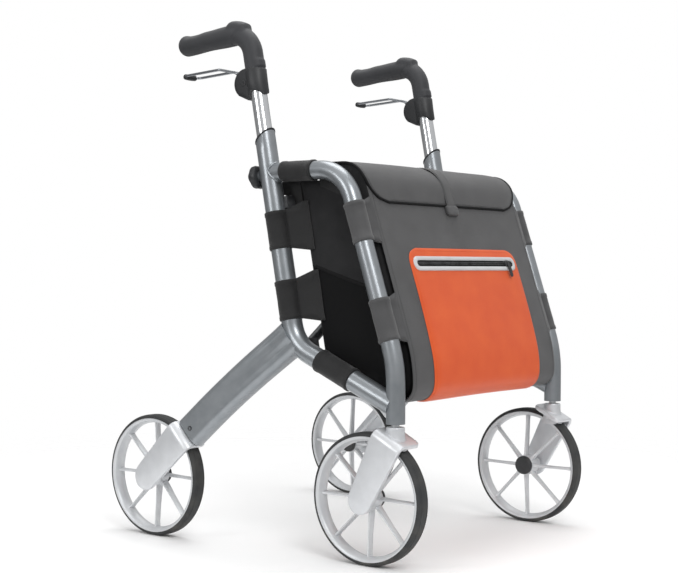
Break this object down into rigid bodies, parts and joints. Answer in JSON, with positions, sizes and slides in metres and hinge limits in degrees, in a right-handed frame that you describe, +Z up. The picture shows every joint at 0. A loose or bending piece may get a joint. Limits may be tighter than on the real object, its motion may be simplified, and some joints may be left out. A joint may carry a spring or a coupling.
{
  "type": "rollator walker",
  "caption": "Folding rollator walker with two tubular side frames, swivel front wheels, height-adjustable handles with brake levers and a lidded shopping bag.",
  "frame": {"origin": "on the floor, midway between the two side frames and midway between the front and rear axles", "axes": "+Z up, front towards -Y, the user's right side towards -X"},
  "size_m": [0.594, 0.6156, 0.8356],
  "materials": {
    "frame_paint": "satin metallic grey-blue powder coat",
    "fork_metal": "light silver-grey painted casting",
    "chrome": "bright chromed tube",
    "rim_metal": "light grey moulded wheel",
    "tyre_rubber": "soft dark grey tread rubber",
    "grip_rubber": "fine textured soft rubber",
    "black_plastic": "matt moulded black plastic",
    "lever_wire": "polished bent wire",
    "bearing_steel": "ground steel",
    "brace_metal": "clear anodised tube",
    "bag_grey": "dark grey coated bag fabric",
    "bag_black": "black coated bag fabric",
    "pocket_orange": "orange coated pocket fabric",
    "zip_light": "light grey sealed zip tape"
  },
  "bodies": {
    "right_frame": {"right_main_tube": "frame_paint", "right_front_hoop": "frame_paint", "right_rear_leg": "frame_paint", "right_rear_fork": "fork_metal", "right_tube_bushes": "black_plastic", "right_caster_bearings": "bearing_steel", "right_bag_sleeves": "bag_black", "right_leg_screw": "black_plastic", "right_brace_mounts": "black_plastic", "right_rear_axle": "black_plastic", "bag_front": "bag_grey", "bag_back": "bag_black", "bag_sides": "bag_black", "pocket": "pocket_orange", "zip_band": "zip_light"},
    "rear_brace_bar": {"cross_bar_rear": "brace_metal", "centre_bolt": "bearing_steel"},
    "front_brace_bar": {"cross_bar_front": "brace_metal"},
    "left_frame": {"left_main_tube": "frame_paint", "left_front_hoop": "frame_paint", "left_rear_leg": "frame_paint", "left_rear_fork": "fork_metal", "left_tube_bushes": "black_plastic", "left_caster_bearings": "bearing_steel", "left_bag_sleeves": "bag_black", "left_leg_screw": "black_plastic", "left_brace_mounts": "black_plastic", "left_rear_axle": "black_plastic"},
    "lid": {"lid": "bag_grey", "strap": "bag_grey"},
    "zip_slider": {"zip_slider": "black_plastic"},
    "right_handle": {"right_height_tube": "chrome", "right_brake_housing": "black_plastic", "right_grip": "grip_rubber"},
    "right_lever": {"right_brake_lever": "lever_wire"},
    "right_knob": {"right_height_knob": "black_plastic"},
    "right_shoe": {"right_brake_shoe": "black_plastic"},
    "right_caster": {"right_caster_fork": "fork_metal", "right_front_axle": "black_plastic"},
    "right_front_wheel": {"right_front_tyre": "tyre_rubber", "right_front_rim": "rim_metal", "right_front_bearings": "bearing_steel"},
    "right_rear_wheel": {"right_rear_tyre": "tyre_rubber", "right_rear_rim": "rim_metal", "right_rear_bearings": "bearing_steel"},
    "left_handle": {"left_height_tube": "chrome", "left_brake_housing": "black_plastic", "left_grip": "grip_rubber"},
    "left_lever": {"left_brake_lever": "lever_wire"},
    "left_knob": {"left_height_knob": "black_plastic"},
    "left_shoe": {"left_brake_shoe": "black_plastic"},
    "left_caster": {"left_caster_fork": "fork_metal", "left_front_axle": "black_plastic"},
    "left_front_wheel": {"left_front_tyre": "tyre_rubber", "left_front_rim": "rim_metal", "left_front_bearings": "bearing_steel"},
    "left_rear_wheel": {"left_rear_tyre": "tyre_rubber", "left_rear_rim": "rim_metal", "left_rear_bearings": "bearing_steel"}
  },
  "joints": [
    {"name": "brace_fold", "type": "hinge", "parent": "right_frame", "child": "rear_brace_bar", "pos_m": [-0.204, -0.06309, 0.318], "axis": [0, -0.9813, 0.1924], "range_deg": [0, 43.59], "deforming": ["bag_front", "bag_back", "bag_sides", "pocket", "zip_band", "lid", "strap", "zip_slider"]},
    {"name": "brace_scissor", "type": "hinge", "parent": "rear_brace_bar", "child": "front_brace_bar", "pos_m": [0, -0.04001, 0.43576], "axis": [0, -0.9813, 0.1924], "range_deg": [-87.18, 0]},
    {"name": "left_frame_pivot", "type": "hinge", "parent": "front_brace_bar", "child": "left_frame", "pos_m": [0.204, -0.06309, 0.318], "axis": [0, -0.9813, 0.1924], "range_deg": [0, 43.59]},
    {"name": "right_height", "type": "slide", "parent": "right_frame", "child": "right_handle", "axis": [0, 0.1924, 0.9813], "range_m": [-0.05, 0.1]},
    {"name": "right_lever_squeeze", "type": "hinge", "parent": "right_handle", "child": "right_lever", "pos_m": [-0.234, 0.047, 0.739], "axis": [1, 0, 0], "range_deg": [0, 15], "stiffness_Nm_per_rad": 1.5, "springref_deg": -5.73},
    {"name": "right_shoe_press", "type": "slide", "parent": "right_frame", "child": "right_shoe", "axis": [0, 0.7254, -0.6884], "range_m": [0, 0.0015]},
    {"name": "right_knob_turn", "type": "hinge", "parent": "right_frame", "child": "right_knob", "pos_m": [-0.234, -0.00919, 0.593], "axis": [0, 0.9813, -0.1924], "range_deg": [0, 360]},
    {"name": "right_caster_swivel", "type": "hinge", "parent": "right_frame", "child": "right_caster", "pos_m": [-0.234, -0.255, 0.2], "axis": [0, 0, 1], "continuous": true},
    {"name": "right_front_wheel_spin", "type": "hinge", "parent": "right_caster", "child": "right_front_wheel", "pos_m": [-0.234, -0.2078, 0.1], "axis": [1, 0, 0], "continuous": true},
    {"name": "right_rear_wheel_spin", "type": "hinge", "parent": "right_frame", "child": "right_rear_wheel", "pos_m": [-0.2685, 0.2078, 0.1], "axis": [1, 0, 0], "continuous": true},
    {"name": "left_height", "type": "slide", "parent": "left_frame", "child": "left_handle", "axis": [0, 0.1924, 0.9813], "range_m": [-0.05, 0.1]},
    {"name": "left_lever_squeeze", "type": "hinge", "parent": "left_handle", "child": "left_lever", "pos_m": [0.234, 0.047, 0.739], "axis": [1, 0, 0], "range_deg": [0, 15], "stiffness_Nm_per_rad": 1.5, "springref_deg": -5.73},
    {"name": "left_shoe_press", "type": "slide", "parent": "left_frame", "child": "left_shoe", "axis": [0, 0.7254, -0.6884], "range_m": [0, 0.0015]},
    {"name": "left_knob_turn", "type": "hinge", "parent": "left_frame", "child": "left_knob", "pos_m": [0.234, -0.00919, 0.593], "axis": [0, 0.9813, -0.1924], "range_deg": [0, 360]},
    {"name": "left_caster_swivel", "type": "hinge", "parent": "left_frame", "child": "left_caster", "pos_m": [0.234, -0.255, 0.2], "axis": [0, 0, 1], "continuous": true},
    {"name": "left_front_wheel_spin", "type": "hinge", "parent": "left_caster", "child": "left_front_wheel", "pos_m": [0.234, -0.2078, 0.1], "axis": [1, 0, 0], "continuous": true},
    {"name": "left_rear_wheel_spin", "type": "hinge", "parent": "left_frame", "child": "left_rear_wheel", "pos_m": [0.2685, 0.2078, 0.1], "axis": [1, 0, 0], "continuous": true},
    {"name": "lid_open", "type": "hinge", "parent": "right_frame", "child": "lid", "pos_m": [0, -0.044, 0.6074], "axis": [-1, 0, 0], "range_deg": [0, 100]},
    {"name": "zip_run", "type": "slide", "parent": "right_frame", "child": "zip_slider", "axis": [1, 0, 0], "range_m": [-0.25, 0.012]}
  ],
  "couplings": [
    {"joint": "brace_scissor", "follows": "brace_fold", "ratio": -2},
    {"joint": "left_frame_pivot", "follows": "brace_fold", "ratio": 1},
    {"joint": "right_shoe_press", "follows": "right_lever_squeeze", "m_per_rad": 0.005729},
    {"joint": "left_shoe_press", "follows": "left_lever_squeeze", "m_per_rad": 0.005729}
  ]
}
